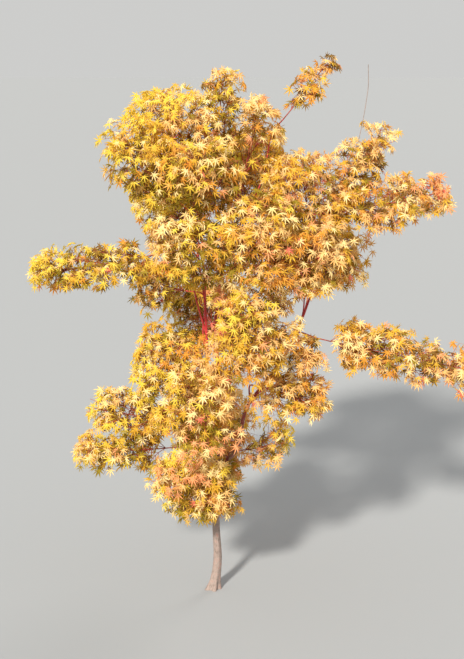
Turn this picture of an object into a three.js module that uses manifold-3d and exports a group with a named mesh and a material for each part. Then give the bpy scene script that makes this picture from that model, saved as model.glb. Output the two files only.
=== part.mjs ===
// A young Japanese maple in its autumn leaf: a slim trunk that forks knee-high into three leaders, the
// boughs that spring from them, and thirty masses of foliage, each a stem with twigs and large star-shaped
// leaves. Millimetres. X is to the right, Y away from the viewer, Z up. The origin is the middle of the
// trunk's flat cut at ground level.
import * as THREE from 'three';
import { mergeVertices } from 'three/addons/utils/BufferGeometryUtils.js';
import Module from 'manifold-3d';

const wasm = await Module();
wasm.setup();

// Driving sizes
const gap = 0.3; // between two pieces that touch
const swell = 1.25 * gap; // how much thicker and longer a limb is where it cuts its neighbours
const clearance = 3; // between foliage and the limbs and other foliage near it
const weld = 1e-4; // how close vertices are the same one
const evened = 0.2; // how far simplifying may move a mass's skin
const watch = 5; // distance between the points on a limb that leaves keep clear of
const rootReach = 7; // how far from its root a twig or leaf may still meet what it grows on
const trunkSize = {
  fork: 440, // height at which it ends in the leaders
  below: 12, // how far its line starts under the ground, where it is cut off flat
  foot: 17.2, // radius just above the flare
  top: 10.8, // radius at the fork
  flare: 14, // what the roots add to the radius at the ground
  flareHeight: 26, // height over which the flare fades by two thirds
  roots: 5, // root swellings round the foot
  sides: 16,
  rings: 12,
  crowd: 1.6, // power by which the rings stand closer at the foot
  fall: 0.6, // power of the length with which the radius falls
  rooted: { mean: 0.62, lobed: 0.38, from: 0.9, leftward: 0.3 }, // how the flare differs round the foot
};
const soil = { wide: 200, deep: 40 }; // block that cuts the foot off flat
const limbSize = {
  tip: 2.0, // radius where a bough meets its foliage
  perLength: 0.0066, // radius gained for each millimetre that the limb carries
  ofParent: 0.74, // most of the parent's radius that a limb may start with
  tipOfRoot: 0.8, // most of its first radius that a short limb may end with
  fall: 0.8, // power of the length with which the radius falls
  follow: 0.22, // share of the way to its first point over which it runs along its parent
  veer: 0.18, // how far that point then moves to the first point
  arrive: 0.25, // last share of its way over which it already heads for its foliage
  sides: 6,
  segment: 100, // length of one straight stretch
};
const stemShape = {
  bends: 3, // straight stretches in it
  short: 0.72, // how far before the end of its space it stops, as a share of a leaf with its stalk
  lift: 18, // how far above the end it stops
  straight: 0.35, // share of its length along which it keeps its bough's heading
};
const twigSize = {
  stem: 1.9, // radius at the start of a mass's stem
  stemEnd: 1.3,
  twig: 1.5,
  twigEnd: 1.1,
  sides: 3,
  bends: 2, // straight stretches in a twig
  pairs: [0.74, 0.42], // where on a twig its pairs of leaves stand, as shares of its length
  tipRoot: 3, // how far before the twig's end the leaf at its tip has its root
  keep: 0.5, // how much of the twig's heading the leaves of a pair keep
  fewest: 2, // leaves that have to fit for the twig to stay
  fork: 0.03, // how far apart the two leaves of a pair stand, up and down the twig
  lift: 36, // how far above its even place a twig ends, as its leaves hang from it
  bow: 0.12, // how far its middle bends along the space, as a share of its length
  tries: 26, // places along the stem where a twig is tried
  first: 0.66, // where the first one ends along the space, which runs from -1 to 1
  span: 1.4, // stretch of the space over which they end
  along: 0.7549, // share of that stretch from one to the next, starting again at its end
  round: 0.5698, // share of a full turn about the stem from one to the next
  feet: [0.04, 0.9], // stretch of the stem from which they spring
  leastReach: 0.35, // shortest one, as a share of the way out to the skin
  setback: 0.75, // what the leaves at its end take up, as a share of their radius
  room: 1.68e6, // space for one leaf, in cubic millimetres
  crowding: 2.5, // power of a leaf's size with which that space grows
  samples: 12, // points on a twig that have to lie in its mass's space
};
const leafSize = {
  radius: 78, // from the heart of the blade to the tip of its longest lobe
  stalk: 30, // from the heart back to the root
  thick: 2.2,
  bay: 0.46, // depth of the bays beside the middle lobe, as a share of the radius
  base: { turn: 145, long: 0.1 }, // where the blade meets its stalk, beside the heart
  root: 0.5, // half the stalk's thickness at its root
  outward: 0.4, // how far its face turns from straight up to straight out
  bend: 42, // degrees that the blade hangs down from the line of its stalk
  droop: 0.2, // how far the lobe tips hang, as a share of their radius
  fullIn: 140, // half the width of a mass whose leaves are full size; a slimmer mass has smaller ones
  least: 0.64,
  smallest: 0.7, // a leaf that doesn't fit is tried down to this share of its size
  shrink: 0.86, // from one try to the next
  vary: 0.08, // how far the sizes differ, up and down
  roll: 35, // degrees that a leaf may be rolled to either side, and is rolled again when it doesn't fit
  hang: [0.2, 0.25], // how far the stalk at a tip and one of a pair head down
  spill: 0.1, // how far its lobes may pass into the next mass's space, as a share of the way to its skin
  past: 0.06, // how far they may pass the skin of their own
  pierce: 1, // how much clearer than the rest a limb passes its blade
};
const space = {
  fullness: 2.5, // 2 is an ellipsoid, more is squarer
  margin: 0.04, // how much deeper a point lies in its own space than in any other
  overhang: 1.05, // half the length of a space, as a share of half the way from tip to end
  steep: 0.9, // how upright a space may be before its width is taken from Y
};
const lobes = [ // angle from the leaf's axis, and length as a share of the radius
  { turn: -112, long: 0.7 },
  { turn: -54, long: 0.9 },
  { turn: 0, long: 1.0 },
  { turn: 54, long: 0.9 },
  { turn: 112, long: 0.7 },
];
const colours = { bark: 0x9c8371, coral: 0x9a3a30, gold: 0xe8b13a, peach: 0xeeaa6c, olive: 0xc49e32 };
const peachOnes = /right|far|crest|heart/; // masses whose leaves are peach; most others are gold
const oliveOnes = /low|foot|skirt|left_mid/;

// The trunk leans a little to the right, back, and to the right again.
const trunkLine = [
  [-2, 0, -trunkSize.below],
  [0, 0, 0],
  [13, 0, 110],
  [8, 0, 250],
  [19, 0, trunkSize.fork],
];

// Each limb springs from its parent at a share of the parent's length and ends at its tip, where its
// foliage begins. The foliage fills a space from there to its end, wide across and deep from top to bottom.
const limbs = [
  // The three leaders and the slender shoot
  { name: 'left_leader', on: 'trunk', at: 0.97, via: [[-14, -5, 690], [-22, -5, 930]],
    tip: [-75, -10, 1395], end: [-168, -20, 1706], wide: 290, deep: 290 },
  { name: 'middle_leader', on: 'trunk', at: 0.97, via: [[24, 25, 690], [8, 30, 940]], tip: [45, 30, 1490],
    end: [16, 40, 1764], wide: 210, deep: 210 },
  { name: 'right_leader', on: 'trunk', at: 0.9, via: [[80, -8, 520], [112, -10, 660], [245, 0, 850]],
    tip: [325, 0, 1210], end: [282, -20, 1512], wide: 320, deep: 280 },
  { name: 'shoot', on: 'middle_leader', at: 0.62, via: [[160, 40, 1420]], tip: [228, 54, 1615],
    end: [380, 60, 1800], wide: 150, deep: 124 },

  // Left side
  { name: 'left_shoulder', on: 'left_leader', at: 0.72, tip: [-106, -60, 1362], end: [-306, -130, 1590],
    wide: 310, deep: 282 },
  { name: 'left_arm', on: 'left_leader', at: 0.5, tip: [-176, -60, 1194], end: [-582, -110, 1122],
    wide: 270, deep: 196 },
  { name: 'left_waist', on: 'left_leader', at: 0.42, tip: [-90, 20, 1058], end: [-272, 10, 1102],
    wide: 340, deep: 220 },
  { name: 'left_mid', on: 'left_leader', at: 0.14, tip: [-22, -65, 814], end: [-238, -130, 888],
    wide: 298, deep: 318 },
  { name: 'left_low', on: 'trunk', at: 0.86, tip: [-118, -75, 636], end: [-425, -135, 697], wide: 280,
    deep: 182 },
  { name: 'left_foot', on: 'trunk', at: 0.78, tip: [-128, -95, 552], end: [-430, -170, 552], wide: 255,
    deep: 168 },

  // Front
  { name: 'front_high', on: 'middle_leader', at: 0.74, tip: [10, -110, 1340], end: [-45, -350, 1560],
    wide: 310, deep: 260 },
  { name: 'front_left', on: 'left_leader', at: 0.55, tip: [-30, -130, 1175], end: [-95, -390, 1305],
    wide: 270, deep: 260 },
  { name: 'front_mid', on: 'middle_leader', at: 0.72, tip: [100, -130, 1345], end: [172, -430, 1230],
    wide: 310, deep: 340 },
  { name: 'front_heart', on: 'right_leader', at: 0.5, tip: [152, -110, 984], end: [118, -390, 988],
    wide: 300, deep: 345 },
  { name: 'front_low', on: 'left_leader', at: 0.1, tip: [-32, -115, 738], end: [-62, -385, 748],
    wide: 308, deep: 345 },

  // Top and right side
  { name: 'crest', on: 'middle_leader', at: 0.8, tip: [95, 0, 1420], end: [162, 0, 1672], wide: 235,
    deep: 230 },
  { name: 'right_high', on: 'right_leader', at: 0.92, tip: [380, 55, 1372], end: [596, 100, 1566],
    wide: 265, deep: 205 },
  { name: 'right_arm', on: 'right_leader', at: 0.84, tip: [358, -25, 1318], end: [742, -60, 1382],
    wide: 290, deep: 190 },
  { name: 'right_chest', on: 'right_leader', at: 0.74, tip: [272, -95, 1198], end: [320, -345, 1230],
    wide: 275, deep: 295 },
  { name: 'right_mid', on: 'right_leader', at: 0.56, tip: [250, -75, 892], end: [328, -250, 884],
    wide: 180, deep: 170 },
  { name: 'right_low', on: 'right_leader', at: 0.3, tip: [150, -70, 752], end: [354, -220, 742],
    wide: 285, deep: 215 },
  { name: 'far_arm', on: 'right_leader', at: 0.34, tip: [345, -60, 915], end: [874, -165, 818], wide: 260,
    deep: 195 },
  { name: 'right_foot', on: 'trunk', at: 0.9, tip: [95, -25, 518], end: [276, -90, 562], wide: 215,
    deep: 195 },

  // Back
  { name: 'back_left', on: 'left_leader', at: 0.58, tip: [-80, 130, 1235], end: [-175, 400, 1372],
    wide: 330, deep: 310 },
  { name: 'back_high', on: 'middle_leader', at: 0.72, tip: [90, 140, 1350], end: [140, 420, 1500],
    wide: 340, deep: 320 },
  { name: 'back_mid', on: 'middle_leader', at: 0.24, tip: [0, 150, 905], end: [-60, 455, 968], wide: 380,
    deep: 320 },
  { name: 'back_right', on: 'right_leader', at: 0.66, tip: [325, 130, 1090], end: [420, 430, 1165],
    wide: 340, deep: 325 },

  // Foliage whose stem springs straight from the trunk
  { name: 'skirt_left', on: 'trunk', at: 0.74, end: [-148, -275, 530], wide: 262, deep: 240 },
  { name: 'skirt_front', on: 'trunk', at: 0.93, end: [-6, -260, 464], wide: 210, deep: 252 },
  { name: 'skirt_back', on: 'trunk', at: 0.92, end: [-35, 400, 668], wide: 310, deep: 300 },
];
const whip = { name: 'bare_whip', on: 'right_arm', at: 0.75, via: [[430, 20, 1440]], tip: [497, 40, 1788] };

// A small random stream, the same in every run
function stream(seed) {
  let state = seed >>> 0;
  return () => {
    state = (state + 0x6d2b79f5) >>> 0;
    let t = Math.imul(state ^ (state >>> 15), 1 | state);
    t = (t + Math.imul(t ^ (t >>> 7), 61 | t)) ^ t;
    return ((t ^ (t >>> 14)) >>> 0) / 4294967296;
  };
}

const vec = (p) => new THREE.Vector3(...p);
const up = new THREE.Vector3(0, 0, 1);
const degrees = THREE.MathUtils.degToRad;

// A closed geometry, or vertices and triangles, as a solid
function solidOf(geometry) {
  geometry.deleteAttribute('normal');
  geometry.deleteAttribute('uv');
  const merged = mergeVertices(geometry, weld);
  return new wasm.Manifold(new wasm.Mesh({
    numProp: 3,
    vertProperties: merged.attributes.position.array,
    triVerts: new Uint32Array(merged.index.array),
  }));
}
function solid(positions, triangles) {
  const geometry = new THREE.BufferGeometry();
  const numbers = positions.flatMap((p) => p.toArray());
  geometry.setAttribute('position', new THREE.Float32BufferAttribute(numbers, 3));
  geometry.setIndex(triangles.flat());
  return solidOf(geometry);
}

// A tube along a curve, with a ring of vertices at each share of its length and a flat end at both. The
// radius depends on the share and may depend on the angle round it. Grow makes it thicker and longer.
const even = (steps) => Array.from({ length: steps + 1 }, (_, i) => i / steps);
function tube(curve, shares, radiusAt, sides, grow = 0) {
  const positions = [];
  const triangles = [];
  let across = vec(Math.abs(curve.getTangentAt(0).x) > 0.8 ? [0, 1, 0] : [1, 0, 0]);
  shares.forEach((share, i) => {
    const along = curve.getTangentAt(share);
    across = across.clone().addScaledVector(along, -across.dot(along)).normalize();
    const third = along.clone().cross(across);
    const middle = curve.getPointAt(share);
    if (i === 0) middle.addScaledVector(along, -grow);
    if (i === shares.length - 1) middle.addScaledVector(along, grow);
    for (let k = 0; k < sides; k++) {
      const angle = (2 * Math.PI * k) / sides;
      const r = radiusAt(share, angle) + grow;
      positions.push(middle.clone()
        .addScaledVector(across, r * Math.cos(angle))
        .addScaledVector(third, r * Math.sin(angle)));
    }
  });
  for (let i = 0; i + 1 < shares.length; i++)
    for (let k = 0; k < sides; k++) {
      const [a, b] = [i * sides + k, i * sides + ((k + 1) % sides)];
      triangles.push([a, b, a + sides], [b, b + sides, a + sides]);
    }
  const last = (shares.length - 1) * sides;
  for (let k = 1; k + 1 < sides; k++) triangles.push([0, k + 1, k], [last, last + k, last + k + 1]);
  return solid(positions, triangles);
}

// A leaf in its own outline: the root of its stalk, then lobe tips with a bay on both sides of the middle
// one, hung between a point above the heart and one below it. Its heart is at the origin, its axis along X
// and its upper face to +Z.
function leafSolid(size) {
  const radius = leafSize.radius * size;
  const point = (turn, share) => {
    const r = radius * share;
    const angle = degrees(turn);
    return new THREE.Vector3(r * Math.cos(angle), r * Math.sin(angle), -leafSize.droop * r * share);
  };
  const rim = [point(-leafSize.base.turn, leafSize.base.long)];
  lobes.forEach((lobe, i) => {
    if (lobe.turn === 0) rim.push(point(lobes[i - 1].turn / 2, leafSize.bay));
    rim.push(point(lobe.turn, lobe.long));
    if (lobe.turn === 0) rim.push(point(lobes[i + 1].turn / 2, leafSize.bay));
  });
  rim.push(point(leafSize.base.turn, leafSize.base.long));
  const half = leafSize.thick / 2;
  const stalk = leafSize.stalk * size;
  const bend = degrees(leafSize.bend);
  const root = new THREE.Vector3(-stalk * Math.cos(bend), 0, -stalk * Math.sin(bend));
  const positions = [
    ...rim,
    root.clone().setZ(root.z + leafSize.root),
    root.clone().setZ(root.z - leafSize.root),
    new THREE.Vector3(0, 0, half),
    new THREE.Vector3(0, 0, -half),
  ];
  const [last, rootAbove, rootBelow, above, below] = [-1, 0, 1, 2, 3].map((i) => i + rim.length);
  const triangles = [
    [rootAbove, 0, above],
    [0, rootBelow, below],
    [rootAbove, rootBelow, 0],
    [last, rootAbove, above],
    [rootBelow, last, below],
    [rootBelow, rootAbove, last],
  ];
  for (let i = 0; i < last; i++) triangles.push([i, i + 1, above], [i + 1, i, below]);
  return { positions, rim: rim.length, triangles };
}

// Where a limb's line runs: from the parent's middle along the parent, then over to its tip
const lines = new Map();
function lineOf(limb) {
  const parent = lines.get(limb.on);
  const start = parent.curve.getPointAt(limb.at);
  const along = parent.curve.getTangentAt(limb.at);
  const tip = vec(limb.tip);
  const first = limb.via ? vec(limb.via[0]) : tip;
  const leave = start.clone().addScaledVector(along, limbSize.follow * first.distanceTo(start));
  leave.lerp(first, limbSize.veer);
  const arrive = limb.end ? vec(limb.end).sub(tip).normalize() : up;
  const last = limb.via ? vec(limb.via.at(-1)) : start;
  const before = tip.clone().addScaledVector(arrive, -limbSize.arrive * tip.distanceTo(last));
  const points = [start, leave, ...(limb.via ?? []).map(vec), before, tip];
  const curve = new THREE.CatmullRomCurve3(points, false, 'centripetal');
  const length = curve.getLength();
  const carried = length + (limb.end ? vec(limb.end).distanceTo(tip) : 0);
  const root = Math.min(
    limbSize.ofParent * parent.radius(limb.at),
    limbSize.tip + limbSize.perLength * carried,
  );
  const thin = Math.min(limbSize.tip, limbSize.tipOfRoot * root);
  const radius = (share) => root + (thin - root) * share ** limbSize.fall;
  return { curve, radius, length };
}

// The trunk, round and slim, with root swellings that fade above the ground
const trunkCurve = new THREE.CatmullRomCurve3(trunkLine.map(vec), false, 'centripetal');
const trunkLength = trunkCurve.getLength();
const trunkRadius = (share) => trunkSize.foot + (trunkSize.top - trunkSize.foot) * share ** trunkSize.fall;
function trunkSwell(share, angle) {
  const height = Math.max(0, share * trunkLength - trunkSize.below);
  const { mean, lobed, from, leftward } = trunkSize.rooted;
  const roots = mean + lobed * Math.cos(trunkSize.roots * angle + from) - leftward * Math.cos(angle);
  return trunkRadius(share) + trunkSize.flare * Math.exp(-height / trunkSize.flareHeight) * roots;
}
function trunkSolid(grow) {
  const shares = even(trunkSize.rings - 1).map((share) => share ** trunkSize.crowd);
  const ground = solidOf(new THREE.BoxGeometry(soil.wide, soil.wide, soil.deep)
    .translate(0, 0, -soil.deep / 2));
  return tube(trunkCurve, shares, trunkSwell, trunkSize.sides, grow).subtract(ground);
}

function limbSolid(limb, grow) {
  const { curve, radius, length } = lines.get(limb.name);
  const steps = Math.max(2, Math.round(length / limbSize.segment));
  return tube(curve, even(steps), radius, limbSize.sides, grow);
}

// What is left of a limb once its parent and the limbs beside its root are cut out of it, with a gap
const largest = (made) => made.decompose().sort((a, b) => b.volume() - a.volume())[0];
const built = new Map();
const swollen = new Map(); // each limb a little thicker and longer, to cut its neighbours with
function addLimb(limb) {
  let made = limbSolid(limb, 0);
  for (const other of swollen.values()) made = made.subtract(other);
  built.set(limb.name === whip.name ? limb.name : `bough_${limb.name}`, largest(made));
  swollen.set(limb.name, limbSolid(limb, swell));
}

// The space of each mass: an ellipsoid from its bough's tip to its end, wide across and deep up and down
function spaceOf(limb) {
  const from = limb.tip ? vec(limb.tip) : lines.get(limb.on).curve.getPointAt(limb.at);
  const to = vec(limb.end);
  const along = to.clone().sub(from);
  const half = along.length() / 2;
  along.normalize();
  const level = Math.abs(along.z) > space.steep ? new THREE.Vector3(0, 1, 0) : up;
  const across = along.clone().cross(level).normalize();
  const over = across.clone().cross(along).normalize();
  return { from, to, middle: from.clone().lerp(to, 0.5), axes: [along, across, over],
    radii: [half * space.overhang, limb.wide / 2, limb.deep / 2] };
}
const spaces = new Map();
// 0 at the middle of a space, 1 on its skin
function depth({ middle, axes, radii }, point) {
  const away = point.clone().sub(middle);
  const shares = axes.map((axis, i) => Math.abs(away.dot(axis)) / radii[i]);
  return shares.reduce((sum, share) => sum + share ** space.fullness, 0) ** (1 / space.fullness);
}
// Whether points lie in a mass's own space and deeper in it than in any other, or no further past these
// borders than a leaf's lobes may
function ownSpace(name, points) {
  const own = spaces.get(name);
  return points.every((point) => {
    const here = depth(own, point);
    if (here > 1 + leafSize.past) return false;
    for (const [other, their] of spaces)
      if (other !== name && depth(their, point) < here + space.margin - leafSize.spill) return false;
    return true;
  });
}

// Points on every limb and stem, with their radius, that twigs and leaves keep clear of
const obstacles = [];
function block(owner, curve, radius) {
  const count = Math.ceil(curve.getLength() / watch);
  for (let i = 0; i <= count; i++)
    obstacles.push({ owner, point: curve.getPointAt(i / count), radius: radius(i / count) });
}
function nearLimb(owner, points, thick) {
  return obstacles.some((o) => o.owner !== owner
    && points.some((point) => point.distanceTo(o.point) < o.radius + thick + clearance));
}
// Whether a limb passes through a leaf: one of its points lies in the blade's outline and close to its face
function pierced(owner, place, size) {
  const inverse = place.clone().invert();
  const reach = leafSize.radius * size;
  return obstacles.some((o) => {
    if (o.owner === owner) return false;
    const p = o.point.clone().applyMatrix4(inverse);
    const r = Math.hypot(p.x, p.y);
    const face = -leafSize.droop * (r * r) / reach;
    return r < reach + o.radius && Math.abs(p.z - face) < o.radius + clearance + leafSize.pierce;
  });
}

// The stem of a mass goes on from its bough, clear of the bough's flat end, and arches to near the far end
function stemOf(limb) {
  const { from, to, axes } = spaces.get(limb.name);
  const parent = lines.get(limb.tip ? limb.name : limb.on);
  const heading = limb.tip ? parent.curve.getTangentAt(1) : axes[0];
  const start = from.clone().addScaledVector(heading, limb.tip ? gap : 0);
  const reach = from.distanceTo(to);
  const short = stemShape.short * (leafSize.radius + leafSize.stalk);
  const stop = from.clone().lerp(to, 1 - short / reach).addScaledVector(up, stemShape.lift);
  const bend = start.clone().addScaledVector(heading, reach * stemShape.straight);
  return new THREE.QuadraticBezierCurve3(start, bend, stop);
}

// Whether a new piece meets what is already built anywhere but at its root
function crosses(piece, root, body) {
  const common = piece.intersect(body);
  if (common.isEmpty()) return true;
  const { min, max } = common.boundingBox();
  return vec(min).distanceTo(root) > rootReach || vec(max).distanceTo(root) > rootReach;
}
const masses = []; // the foliage already grown, with its bounding box
function clearOfMasses(piece) {
  const { min, max } = piece.boundingBox();
  return masses.every(({ made, box }) => {
    const apart = [0, 1, 2].some((i) => min[i] > box.max[i] + clearance || max[i] < box.min[i] - clearance);
    return apart || made.minGap(piece, clearance) > 2 * gap;
  });
}

// A leaf on a twig: its stalk's root sits in the twig and the stalk heads off from it, with the blade
// hanging from the stalk's end and facing out. It is tried at smaller sizes and rolled to either side until
// it fits.
function leafAt(name, root, heading, away, size, roll, body) {
  const side = up.clone().addScaledVector(away, leafSize.outward).cross(heading).normalize();
  for (let share = size; share >= size * leafSize.smallest; share *= leafSize.shrink)
    for (const more of [0, leafSize.roll, -leafSize.roll]) {
      const y = side.clone().applyAxisAngle(heading, degrees(roll + more));
      const x = heading.clone().applyAxisAngle(y, degrees(leafSize.bend));
      const heart = root.clone().addScaledVector(heading, leafSize.stalk * share);
      const place = new THREE.Matrix4().makeBasis(x, y, x.clone().cross(y)).setPosition(heart);
      const { positions, rim, triangles } = leafSolid(share);
      positions.forEach((p) => p.applyMatrix4(place));
      const blade = positions.slice(0, rim);
      if (!ownSpace(name, blade) || nearLimb(name, blade, leafSize.thick / 2)) continue;
      if (pierced(name, place, share)) continue;
      const made = solid(positions, triangles);
      if (!crosses(made, root, body) && clearOfMasses(made)) return made;
    }
  return null;
}

// Foliage: twigs one by one, each a fixed step along the space and a fixed turn about the stem from the
// last, which together spread them evenly, and on each a leaf at its tip and two pairs of leaves behind it
function foliage(limb, index) {
  const own = spaces.get(limb.name);
  const random = stream(977 + 31 * index);
  const stem = lines.get(`stem_${limb.name}`);
  const [along, across, over] = own.axes;
  const fallen = (v, amount) => v.clone().addScaledVector(up, -amount).normalize();
  const middling = Math.sqrt(own.radii[1] * own.radii[2]);
  const size = THREE.MathUtils.clamp(middling / leafSize.fullIn, leafSize.least, 1);
  const taper = (from, to) => (share) => from + (to - from) * share;
  let body = tube(stem.curve, even(stemShape.bends), taper(twigSize.stem, twigSize.stemEnd), twigSize.sides);
  let count = 0;
  const cluster = (wood, curve, outward, without = wood) => {
    const heading = curve.getTangentAt(1);
    const side = heading.clone().cross(outward.clone().add(up)).normalize();
    const places = [[1 - twigSize.tipRoot / curve.getLength(), fallen(heading, leafSize.hang[0])]];
    for (const pair of twigSize.pairs)
      for (const hand of [-1, 1]) {
        const turned = heading.clone().multiplyScalar(twigSize.keep).addScaledVector(side, hand).normalize();
        places.push([pair + twigSize.fork * hand, fallen(turned, leafSize.hang[1])]);
      }
    let made = wood;
    let fitted = 0;
    for (const [share, direction] of places) {
      const root = curve.getPointAt(share);
      const away = root.clone().sub(own.middle).setZ(0).normalize();
      const roll = 2 * leafSize.roll * (random() - 0.5);
      const grown = size * (1 + 2 * leafSize.vary * (random() - 0.5));
      const leaf = leafAt(limb.name, root, direction, away, grown, roll, made);
      if (!leaf) continue;
      made = made.add(leaf);
      fitted++;
    }
    if (fitted < (wood === without ? 1 : twigSize.fewest)) return without;
    count += fitted;
    return made;
  };
  body = cluster(body, stem.curve, along);

  const volume = 4 / 3 * Math.PI * own.radii[0] * middling ** 2;
  const quota = Math.round(volume / (twigSize.room * size ** twigSize.crowding));
  for (let k = 0; k < twigSize.tries && count < quota; k++) {
    const share = twigSize.first - twigSize.span * ((k * twigSize.along) % 1); // where the twig ends
    const turn = 2 * Math.PI * twigSize.round * (k + index);
    const outward = across.clone().multiplyScalar(Math.cos(turn) * own.radii[1])
      .addScaledVector(over, Math.sin(turn) * own.radii[2]);
    const width = outward.length() * Math.sqrt(1 - share * share);
    outward.normalize();
    const back = size * (twigSize.setback * leafSize.radius + leafSize.stalk);
    const reach = Math.max(twigSize.leastReach * width, width - back);
    const tip = own.middle.clone().addScaledVector(along, share * own.radii[0])
      .addScaledVector(outward, reach).addScaledVector(up, twigSize.lift * size);
    const behind = (share + 1) / 2 - reach / (2 * own.radii[0]);
    const foot = stem.curve.getPointAt(THREE.MathUtils.clamp(behind, ...twigSize.feet));
    const bend = foot.clone().lerp(tip, 0.5).addScaledVector(along, twigSize.bow * tip.distanceTo(foot));
    const curve = new THREE.QuadraticBezierCurve3(foot, bend, tip);
    const samples = curve.getPoints(twigSize.samples).slice(2);
    if (!ownSpace(limb.name, samples) || nearLimb(limb.name, samples, twigSize.twig)) continue;
    const twig = tube(curve, even(twigSize.bends), taper(twigSize.twig, twigSize.twigEnd), twigSize.sides);
    if (crosses(twig, foot, body) || !clearOfMasses(twig)) continue;
    body = cluster(body.add(twig), curve, outward, body);
  }
  if (!limb.tip) body = body.subtract(swollen.get(limb.on));
  const made = largest(body.simplify(evened));
  masses.push({ made, box: made.boundingBox() });
  return made;
}

// Trunk first, then each limb, then the stems, which every leaf has to miss, then the foliage
lines.set('trunk', { curve: trunkCurve, length: trunkLength, radius: trunkRadius });
built.set('trunk', trunkSolid(0));
swollen.set('trunk', trunkSolid(swell));
block('trunk', trunkCurve, trunkRadius);
for (const limb of [...limbs.filter((l) => l.tip), whip]) {
  lines.set(limb.name, lineOf(limb));
  addLimb(limb);
  block(`limb_${limb.name}`, lines.get(limb.name).curve, lines.get(limb.name).radius);
}
for (const limb of limbs) spaces.set(limb.name, spaceOf(limb));
for (const limb of limbs) {
  const curve = stemOf(limb);
  lines.set(`stem_${limb.name}`, { curve });
  block(limb.name, curve, () => twigSize.stem);
}
limbs.forEach((limb, index) => built.set(`leaves_${limb.name}`, foliage(limb, index)));

// A solid as a mesh of the scene
function colourOf(name) {
  if (name === 'trunk') return 'bark';
  if (!name.startsWith('leaves')) return 'coral';
  if (peachOnes.test(name)) return 'peach';
  return oliveOnes.test(name) ? 'olive' : 'gold';
}
const materials = {};
for (const [name, color] of Object.entries(colours))
  materials[name] = new THREE.MeshStandardMaterial({ color, roughness: 0.6 });
function meshOf(name, made) {
  const { numProp, vertProperties, triVerts } = made.getMesh();
  const geometry = new THREE.BufferGeometry();
  const buffer = new THREE.InterleavedBuffer(vertProperties, numProp);
  geometry.setAttribute('position', new THREE.InterleavedBufferAttribute(buffer, 3, 0));
  geometry.setIndex(new THREE.BufferAttribute(triVerts, 1));
  geometry.computeVertexNormals();
  const mesh = new THREE.Mesh(geometry, materials[colourOf(name)]);
  mesh.name = name;
  return mesh;
}

const tree = new THREE.Group();
for (const [name, made] of built) tree.add(meshOf(name, made));

export default tree;
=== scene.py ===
# A young Japanese maple in its autumn leaf, dressed round its solids.
# Shapes are worked out in millimetres and go into their meshes in metres.
import math

import bpy
import numpy as np
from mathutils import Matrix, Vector


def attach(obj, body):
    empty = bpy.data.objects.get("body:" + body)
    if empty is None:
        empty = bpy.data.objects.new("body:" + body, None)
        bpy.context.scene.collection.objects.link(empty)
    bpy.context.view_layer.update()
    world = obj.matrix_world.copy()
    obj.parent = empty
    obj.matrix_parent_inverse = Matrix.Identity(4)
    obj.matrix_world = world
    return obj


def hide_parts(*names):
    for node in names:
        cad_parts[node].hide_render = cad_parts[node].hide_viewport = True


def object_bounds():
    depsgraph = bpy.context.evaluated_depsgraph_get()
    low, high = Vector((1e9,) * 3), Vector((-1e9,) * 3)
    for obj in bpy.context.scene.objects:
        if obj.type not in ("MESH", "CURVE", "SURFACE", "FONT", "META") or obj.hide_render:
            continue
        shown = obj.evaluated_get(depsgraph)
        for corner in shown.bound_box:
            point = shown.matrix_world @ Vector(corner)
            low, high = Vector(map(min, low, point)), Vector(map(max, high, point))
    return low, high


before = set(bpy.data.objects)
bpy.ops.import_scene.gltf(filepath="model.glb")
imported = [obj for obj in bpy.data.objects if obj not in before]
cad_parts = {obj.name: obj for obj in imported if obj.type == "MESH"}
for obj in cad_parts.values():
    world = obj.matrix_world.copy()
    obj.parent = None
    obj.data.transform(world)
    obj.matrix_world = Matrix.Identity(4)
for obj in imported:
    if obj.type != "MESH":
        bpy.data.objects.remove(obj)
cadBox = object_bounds()
print("frame:", len(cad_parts), "solids")

scene = bpy.context.scene
mm = 0.001
up = np.array([0.0, 0.0, 1.0])
sunward = np.array([-0.2, -0.98, 0.0])  # the side that the leaves turn to


# sRGB hex to linear: each channel over 255, with the sRGB curve undone
def linear(hexColour):
    channels = [int(hexColour[i:i + 2], 16) / 255 for i in (1, 3, 5)]
    return [c / 12.92 if c <= 0.04045 else ((c + 0.055) / 1.055) ** 2.4 for c in channels] + [1.0]


# A node with its settings and its links. A key that names a socket sets it, any other sets a property.
def addNode(tree, kind, settings=None, links=None):
    node = tree.nodes.new(kind)
    for key, value in (settings or {}).items():
        if isinstance(key, int) or key in node.inputs:
            node.inputs[key].default_value = value
        else:
            setattr(node, key, value)
    for key, source in (links or {}).items():
        tree.links.new(source, node.inputs[key])
    return node


# A material without nodes yet, and its node tree
def newMaterial(name):
    material = bpy.data.materials.new(name)
    material.use_nodes = True
    material.node_tree.nodes.clear()
    return material, material.node_tree


# Colours at their places along a ramp
def setRamp(node, stops):
    ramp = node.color_ramp
    while len(ramp.elements) < len(stops):
        ramp.elements.new(0.5)
    for element, (place, hexColour) in zip(ramp.elements, stops):
        element.position = place
        element.color = linear(hexColour)


# Each vector divided by its length
def unit(v):
    return v / np.maximum(np.linalg.norm(v, axis=-1, keepdims=True), 1e-9)


# From 0 to 1 between two values, smooth at both
def ease(x, low, high):
    t = np.clip((x - low) / (high - low), 0, 1)
    return t * t * (3 - 2 * t)


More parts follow.
